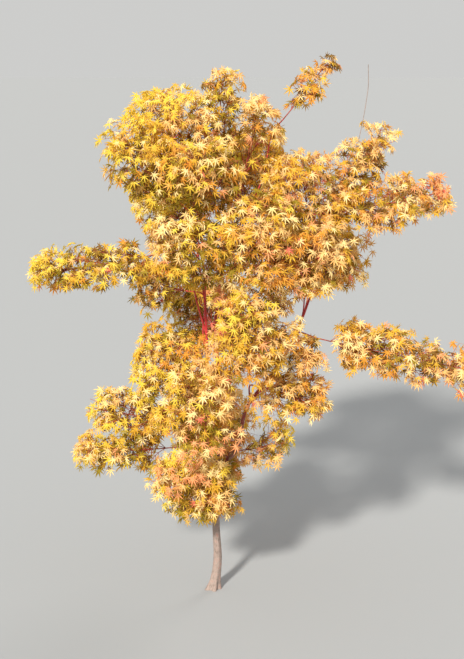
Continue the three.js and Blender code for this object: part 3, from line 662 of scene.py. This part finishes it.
# First-order twigs: the k-th ends just under the skin of its space, one step on along it and one step on
# round it, where the steps go round when they pass the end. Each has a vigour from 0 to 1, which lengthens
# it. One that would leave the space is made shorter.
def growTwigs(stems):
    rng = np.random.default_rng(41)
    rows = []
    for m in range(len(masses)):
        half, along = halves[m], alongAxes[m]
        k = np.arange(max(twig["fewest"], round(volumes[m] / twig["room"])))
        share = twig["spread"] - 2 * twig["spread"] * ((k * twig["along"]) % 1)
        turn = 2 * np.pi * twig["round"] * (k + m)
        outward = (acrossAxes[m] * (np.cos(turn) * half[1])[:, None]
                   + overAxes[m] * (np.sin(turn) * half[2])[:, None])
        girth = (1 - np.abs(share) ** crown["fullness"]) ** (1 / crown["fullness"])
        width = np.linalg.norm(outward, axis=1) * girth
        outward = unit(outward)
        vigour = rng.random(len(k))
        weakest, added = twig["reach"]
        reach = np.maximum(twig["least"] * width, width - twig["under"]) * (weakest + added * vigour)
        every, shorter = twig["short"]
        reach = np.where(k % every == every - 1, shorter * reach, reach)
        at = np.clip((share + 1) / 2 - reach / (2 * half[0]), *twig["feet"])
        foot = stems[m][np.round(at * (stem["points"] - 1)).astype(int)]
        middle = middles[m] + along * (share * half[0])[:, None]
        best = fitting(middle, outward, reach, np.full(len(k), m), twig["skin"], twig)
        tip = middle + outward * (reach * best)[:, None] + up * twig["lift"]
        span = np.linalg.norm(tip - foot, axis=1)[:, None]
        keep = best > 0
        bend = (foot + tip) / 2 + along * twig["sweep"] * span + up * twig["arch"] * span
        rows.append((foot[keep], bend[keep], tip[keep], np.full(keep.sum(), m), vigour[keep]))
    foot, bend, tip, owner, vigour = [np.concatenate(x) for x in zip(*rows)]
    return arcs(foot, bend, tip, twig["points"]), owner, vigour


outWay = {"mass": 0.6, "trunk": 0.5, "sun": 0.5, "axis": (60.0, 0, 0)}  # three weights, and the crown's axis


# The way out of the crown at each point: from the middle of its mass, from the crown's axis, and to the sun
def outOf(points, owner):
    level = np.array([1.0, 1.0, 0.0])
    fromMass = unit((points - middles[owner]) * level)
    fromTrunk = unit((points - np.array(outWay["axis"])) * level)
    return unit(outWay["mass"] * fromMass + outWay["trunk"] * fromTrunk + outWay["sun"] * sunward)


# The points at a share of lines' lengths, the headings there, and the ways to one side, square to the
# heading in a plane that looks up, out of the crown and a random way
def sideways(paths, share, hand, owner, spec, rng):
    step = pointAt(share, paths.shape[1])
    foot, head = paths[:, step], unit(np.gradient(paths, axis=1))[:, step]
    plane = unit(up + spec["tilt"] * outOf(foot, owner) + spec["roll"] * rng.normal(size=foot.shape))
    return foot, head, unit(np.cross(head, plane)) * hand


# Side twigs: pairs that leave each twig at about half a right angle on either side, in a plane that is
# rolled a little from level, and that hang at their ends. Each is as long as its own twig's skin allows, so
# that the crown has a ragged edge.
def growSides(twigs, owner, skins):
    rng = np.random.default_rng(57)
    lengths = np.linalg.norm(np.diff(twigs, axis=1), axis=2).sum(1)
    n = len(twigs)
    long, less = sideTwig["long"]
    rows = []
    for at in sideTwig["pairs"]:
        for hand in (-1, 1):
            foot, head, side = sideways(twigs, at, hand, owner, sideTwig, rng)
            way = unit(sideTwig["ahead"] * head + sideTwig["aside"] * side)
            span = np.clip(lengths * (long - less * at), *sideTwig["between"])
            span = span * rng.uniform(*sideTwig["vary"], n)
            best = fitting(foot, way, span, owner, skins, sideTwig)
            span = (span * best)[:, None]
            tip = foot + way * span - up * sideTwig["hang"] * span
            bend = foot + way * 0.5 * span + up * sideTwig["arch"] * span + head * sideTwig["sweep"] * span
            keep = best > 0
            rows.append((foot[keep], bend[keep], tip[keep], owner[keep], np.arange(n)[keep]))
    foot, bend, tip, sideOwner, parent = [np.concatenate(x) for x in zip(*rows)]
    return arcs(foot, bend, tip, sideTwig["points"]), sideOwner, parent


# Places of leaves along lines: a pair at each node, one leaf to each side, and one straight on at the tip.
# spray says which leaves belong together.
def leafPlaces(paths, owner, nodes, spray, seed):
    rng = np.random.default_rng(seed)
    rows = []
    for node in nodes:
        for hand in ((-1, 0, 1) if node == 1.0 else (-1, 1)):
            root, head, side = sideways(paths, node, hand, owner, leafWay, rng)
            ahead = 1.0 if hand == 0 else leafWay["ahead"]
            varied = leafWay["vary"] * rng.normal(size=root.shape)
            way = unit(ahead * head + side + leafWay["rise"] * up + varied)
            rows.append((root, way, owner, spray, np.arange(len(root))))
    return [np.concatenate(x) for x in zip(*rows)]


stems = growStems()
twigs, twigOwner, vigours = growTwigs(stems)
least, most = crown["skins"]
skins = least + (most - least) * vigours
sides, sideOwner, sideParent = growSides(twigs, twigOwner, skins)
massIds = np.arange(len(masses))
groups = [
    leafPlaces(sides, sideOwner, sideTwig["leaves"], sideParent, 71),
    leafPlaces(twigs, twigOwner, twig["leaves"], np.arange(len(twigs)), 72),
    leafPlaces(stems, massIds, stem["leaves"], len(twigs) + massIds, 73),
]
leafKind = np.concatenate([np.full(len(g[0]), i) for i, g in enumerate(groups)])
roots, ways, leafOwner, spray, leafTwig = [np.concatenate(x) for x in zip(*groups)]
print("places for leaves:", len(roots))

hang = {
    "sag": 0.12,  # of the stalk, as a share of its length
    "fall": (0.2, 1.4), "ahead": 0.6, "outward": 0.5, "vary": 0.45,
    "faceUp": 0.66, "faceOut": 0.5, "faceSun": 0.4, "faceVary": 0.55,
}

# Hang of the leaves: the stalk leaves the twig and sags a little, the blade's axis heads out and down, and
# its upper face looks up, out and to the sun, made square to the axis
rng = np.random.default_rng(91)
count = len(roots)
outward = outOf(roots, leafOwner)
stalkLength = rng.uniform(*leaf["stalk"], count)[:, None]
hearts = roots + ways * stalkLength - up * hang["sag"] * stalkLength
fall = rng.uniform(*hang["fall"], count)[:, None]
xAxes = unit(hang["ahead"] * ways + hang["outward"] * outward - fall * up
             + hang["vary"] * rng.normal(size=(count, 3)))
face = unit(hang["faceUp"] * up + hang["faceOut"] * outward + hang["faceSun"] * sunward
            + hang["faceVary"] * rng.normal(size=(count, 3)))
zAxes = unit(face - (face * xAxes).sum(1, keepdims=True) * xAxes)
yAxes = np.cross(zAxes, xAxes)
sizes = leaf["radius"] * rng.uniform(*leaf["vary"], count)

# A leaf stays if its heart and its tip are in its own space, if it is clear of the limbs, and if no other
# leaf has its cube. Deep inside, where little light comes, most have dropped.
tipsOfLeaves = hearts + xAxes * sizes[:, None]
skinOf = np.concatenate([skins, np.ones(len(masses))])[spray]
keep = inOwn(hearts, leafOwner, skinOf, crown["heartMargin"])
keep &= inOwn(tipsOfLeaves, leafOwner, skinOf + crown["skinMore"], crown["tipMargin"])
own = depths(hearts)[np.arange(count), leafOwner]
keep &= (own > crown["inside"]) | (rng.random(count) < crown["insideShare"])
low, high = np.array(cadBox) / mm
room = crown["past"] * (high - low) + crown["pastMore"]
keep &= ((tipsOfLeaves > low - room) & (tipsOfLeaves < high + room)).all(1)
limbPoints, limbRadii = [np.concatenate([values[n][::crown["everyPoint"]] for n in lines])
                         for values in (lines, radii)]
for start in range(0, count, crown["batch"]):
    part = slice(start, start + crown["batch"])
    away = np.linalg.norm(hearts[part, None] - limbPoints, axis=2) - limbRadii
    keep[part] &= away.min(1) > crown["clear"]
order = rng.permutation(count)
order = order[keep[order]]
cube = np.floor(hearts[order] / crown["cell"]).astype(int)
_, firstOnes = np.unique(cube, axis=0, return_index=True)
chosen = np.sort(order[firstOnes])
print("leaves:", len(chosen))


# The blade, as vertices in polar form: the heart, the corners at the stalk and the bays between the lobes,
# then for each lobe its edge, its tip and its other edge. Each row is an angle, and a distance and a height
# over the rib's plane as shares of the radius. Four triangles make a lobe.
def bladeOutline():
    lobes = [(-angle, length) for angle, length in leaf["lobes"][:0:-1]] + leaf["lobes"]
    pairs = list(zip(lobes, lobes[1:]))
    corner, short = leaf["base"]
    bays = [-corner] + [(a[0] + b[0]) / 2 for a, b in pairs] + [corner]
    depth = [short] + [leaf["bay"] * min(1, (a[1] + b[1]) / leaf["bayOf"]) for a, b in pairs] + [short]
    low, high = leaf["pleats"]
    points = [(0.0, 0.0, 0.0)] + [(angle, reach, low) for angle, reach in zip(bays, depth)]
    spread = math.degrees(math.atan2(leaf["width"], leaf["widest"]))
    faces = []
    for i, (angle, length) in enumerate(lobes):
        left, tip, right = range(len(points), len(points) + 3)
        edge = length * math.hypot(leaf["widest"], leaf["width"])
        points += [(angle - spread, edge, high), (angle, length, 0.0), (angle + spread, edge, high)]
        faces += [(0, 1 + i, left), (0, left, tip), (0, tip, right), (0, right, 2 + i)]
    return np.array(points), np.array(faces)


# Blades at their places: x and y are the polar outline, and z is the pleat minus a droop that grows with the
# square of the distance, plus a curl along the axis and a twist across it, each leaf with its own amounts
def bladesAt(ids):
    rng = np.random.default_rng(int(ids[0]) + 5)
    outline, faces = bladeOutline()
    angle, far, pleat = np.radians(outline[:, 0]), outline[:, 1], outline[:, 2]
    n = len(ids)
    droop = rng.uniform(*leaf["droop"], (n, 1))
    curl = rng.normal(0, leaf["curl"], (n, 1))
    twist = rng.normal(0, leaf["twist"], (n, 1))
    fold = rng.uniform(*leaf["fold"], (n, 1))
    narrow = rng.uniform(*leaf["narrow"], (n, 1))
    x = np.broadcast_to(far * np.cos(angle), (n, len(far)))
    y = far * np.sin(angle) * narrow
    z = fold * pleat - droop * far ** 2 + curl * x * far + twist * x * y
    size = sizes[ids][:, None, None]
    offsets = (x[..., None] * xAxes[ids][:, None] + y[..., None] * yAxes[ids][:, None]
               + z[..., None] * zAxes[ids][:, None])
    verts = hearts[ids][:, None] + size * offsets
    shift = (np.arange(n) * len(outline))[:, None, None]
    return verts.reshape(-1, 3), [(faces[None] + shift).reshape(-1, 3)]


blade = {"veins": 500.0, "relief": 0.25, "deep": 0.0002, "through": 0.25}  # veins per metre, depth in metres


# Autumn leaf blade, a thin dry film of wax over coloured tissue: satin above, and light comes through it.
# The tint is plain, and a fine net of veins, 2 mm across, stands in the bump.
def bladeMaterial(name, tint, glow):
    material, tree = newMaterial(name)
    place = addNode(tree, "ShaderNodeTexCoord").outputs["Object"]
    veins = addNode(tree, "ShaderNodeTexVoronoi", {"feature": "DISTANCE_TO_EDGE", "Scale": blade["veins"]},
                    {"Vector": place}).outputs["Distance"]
    bump = addNode(tree, "ShaderNodeBump", {"Strength": blade["relief"], "Distance": blade["deep"]},
                   {"Height": veins}).outputs[0]
    skin = addNode(tree, "ShaderNodeBsdfPrincipled",
                   {"Base Color": linear(tint), "Roughness": 0.5, "IOR": 1.42, "Specular IOR Level": 0.35},
                   {"Normal": bump}).outputs[0]
    through = addNode(tree, "ShaderNodeBsdfTranslucent", {"Color": linear(glow)}).outputs[0]
    both = addNode(tree, "ShaderNodeMixShader", {0: blade["through"]}, {1: skin, 2: through}).outputs[0]
    addNode(tree, "ShaderNodeOutputMaterial", links={"Surface": both})
    return material


# Each tint above, what shines through it, and its slot. Olive and ochre are painted shade: darker leaves
# dealt to the shaded sides and deep inside. Cream and peach are painted light: paler leaves dealt mostly to
# the lit sides.
tints = {
    "lemon": ("#EFD658", "#EFD63C", "leaves_gold"),
    "gold": ("#E6BE48", "#E8BE34", "leaves_gold"),
    "amber": ("#E4A846", "#E8A430", "leaves_peach"),
    "peach": ("#F4CE88", "#F4BE5C", "leaves_peach"),
    "cream": ("#FBE6A8", "#FADC7C", "leaves_gold"),
    "salmon": ("#F0B27C", "#F0A258", "leaves_peach"),
    "rose": ("#E8846C", "#EA704C", "leaves_peach"),
    "olive": ("#A8922E", "#B2981E", "leaves_olive"),
    "shade_ochre": ("#8E6C2E", "#A07A24", "leaves_olive"),
}

# Two fields of patches as wide as a bough's spray, each the sum of cosines of three waves across the crown,
# given by their radians per millimetre along x, y and z, and by their starts
patches = [
    ([(0.021, 0.006, 0.009), (-0.008, 0.017, 0.019), (0.006, -0.012, 0.024)], (0.4, 2.6, 4.9)),
    ([(0.016, -0.011, 0.021), (0.023, 0.012, -0.01), (-0.004, 0.02, 0.026)], (5.2, 1.1, 3.3)),
]
tinting = {
    "right": (-220, 260), "rightMoved": 90,  # from left to right, and how far a patch moves it
    "heart": (60, 640), "heartSize": (150, 190),  # across and up
    "lit": (-0.55, 0.75), "litMoved": 0.14, "litUp": 0.9,  # from a mass's shaded side to its lit one
    "spray": 0.5,  # share of the outer leaves that have their spray's tint
    # where the painted shade of the deep leaves fades out
    "inside": (0.5, 0.88),  # deep inside up to the first of these depths, and not at all from the second
}


# Odds of each tint at a place: lemon to the left, amber to the right, salmon low in the middle, gold all over
# and rose here and there. Light and shade are painted into them too: peach, cream and some lemon go to a
# mass's lit side as painted light, and gold, amber and olive to its shaded side and ochre and olive deep
# inside as painted shade. The patches move the borders between them.
def tintOdds(points, owner, deep):
    x, z = points[:, 0], points[:, 2]
    drift, turned = [np.cos(points @ np.array(waves).T + starts).sum(1) for waves, starts in patches]
    right = ease(x + tinting["rightMoved"] * drift, *tinting["right"])
    (heartX, heartZ), (wide, high) = tinting["heart"], tinting["heartSize"]
    lowHeart = np.exp(-((x - heartX) / wide) ** 2 - ((z - heartZ) / high) ** 2)
    # lit: how far a point lies toward its mass's lit side, the mask of the painted light and shade in the
    # odds
    litWay = unit(outOf(points, owner) + tinting["litUp"] * up)
    away = np.einsum("nk,nk->n", points - middles[owner], litWay)
    lit = ease(away / halves[owner].mean(1) + tinting["litMoved"] * turned, *tinting["lit"])
    odds = {
        "lemon": (1 - right) * (0.5 + 0.6 * lit),
        "gold": 0.8 - 0.3 * lit,
        "amber": (0.12 + 0.45 * right) * (1.1 - 0.6 * lit),
        # painted light: peach and cream, weighted by lit
        "peach": lit * (0.25 + 0.75 * right + 0.9 * lowHeart),
        "cream": (0.15 + lit) * (0.5 + 0.4 * lowHeart),
        "salmon": 0.03 + 0.16 * right * lit + 0.32 * lowHeart,
        "rose": 0.006 + 0.03 * right + 0.03 * lowHeart,
        # painted shade: olive on the shaded side and inside, ochre deep inside
        "olive": (1 - lit) * (1.0 - 0.7 * right) + 0.5 * deep,
        "shade_ochre": 0.02 + 1.0 * deep,
    }
    odds = np.stack([odds[t] for t in tints], 1)
    return odds / odds.sum(1, keepdims=True)


# One draw for each row of odds: the first tint whose running sum passes a random share
def draw(odds, share):
    return (odds.cumsum(1) > share[:, None]).argmax(1)


# A piece of the foliage, from a mesh (verts, faces). Together these pieces replace all the masses.
def putFoliage(name, mesh, material, smooth=True):
    piece = putPiece(name, *mesh, material, smooth)
    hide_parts(*[f"leaves_{n}" for n in masses])


deal = np.random.default_rng(113)
sprayCount = spray.max() + 1
sums = np.zeros((sprayCount, 3))
np.add.at(sums, spray[chosen], hearts[chosen])
totals = np.maximum(np.bincount(spray[chosen], minlength=sprayCount), 1)[:, None]
sprayOwner = np.zeros(sprayCount, int)
sprayOwner[spray] = leafOwner
sprayTint = draw(tintOdds(sums / totals, sprayOwner, np.zeros(sprayCount)), deal.random(sprayCount))
# Painted shade: deep leaves, far inside a mass, take darker olive and ochre tints and seldom their spray's
# tint
deep = 1 - ease(own[chosen], *tinting["inside"])
leafTint = np.where(deal.random(len(chosen)) < tinting["spray"] * (1 - deep), sprayTint[spray[chosen]],
                    draw(tintOdds(hearts[chosen], leafOwner[chosen], deep), deal.random(len(chosen))))
for i, (tint, (above, glow, slot)) in enumerate(tints.items()):
    ids = chosen[leafTint == i]
    material = bladeMaterial(f"autumn leaf blade, {tint}", above, glow)
    putFoliage(f"leaves_{tint}", bladesAt(ids), material, smooth=False)


# Coral shoots of the year: a smooth waxy skin in deeper and brighter reds, in blotches of 30 mm, 33 to the
# metre. Streaks would be too fine to show.
def shootMaterial(name, dark, bright, roughness):
    material, tree = newMaterial(name)
    place = addNode(tree, "ShaderNodeTexCoord").outputs["Object"]
    noise = addNode(tree, "ShaderNodeTexNoise", {"Scale": 33.0, "Detail": 3.0},
                    {"Vector": place}).outputs["Fac"]
    ramp = addNode(tree, "ShaderNodeValToRGB", links={"Fac": noise})
    setRamp(ramp, [(0.35, dark), (0.65, bright)])
    shader = addNode(tree, "ShaderNodeBsdfPrincipled", {"Roughness": roughness, "IOR": 1.46},
                     {"Base Color": ramp.outputs[0]})
    addNode(tree, "ShaderNodeOutputMaterial", links={"Surface": shader.outputs[0]})
    return material


twigBark = shootMaterial("maple shoots, waxy coral", "#7C3026", "#AE4A38", roughness=0.42)
stalkSkin = shootMaterial("leaf stalks, waxy rose", "#B8683C", "#D8A05C", roughness=0.45)

# Radii in millimetres at the foot and at the tip, sides, and every how many points of a line has a ring
slender = {
    "stem": (2.0, 1.15, 8, 3), "twig": (1.25, 0.75, 6, 2), "side": (0.8, 0.5, 4, 3),
    "stalk": (0.5, 0.38, 3, 1),
}


# Tubes whose radii fall evenly along each line, from the foot's to the tip's
def slenderTubes(kind, lines):
    foot, tip, sides, every = slender[kind]
    lines = lines[:, ::every]
    return tubes(lines, np.broadcast_to(np.linspace(foot, tip, lines.shape[1]), lines.shape[:2]), sides)


# Twigs: along the stems, and along the twigs and side twigs that carry a leaf
usedSides = np.unique(leafTwig[chosen][leafKind[chosen] == 0])
usedTwigs = np.unique(np.concatenate([leafTwig[chosen][leafKind[chosen] == 1], sideParent[usedSides]]))
twigMesh = joined([slenderTubes("stem", stems), slenderTubes("twig", twigs[usedTwigs])])
putFoliage("twigs", twigMesh, twigBark)
putFoliage("side_twigs", slenderTubes("side", sides[usedSides]), twigBark)

# Stalks: thin straight tubes from the twig to the heart of each blade
stalks = np.stack([roots[chosen], hearts[chosen]], 1)
putFoliage("leaf_stalks", slenderTubes("stalk", stalks), stalkSkin)
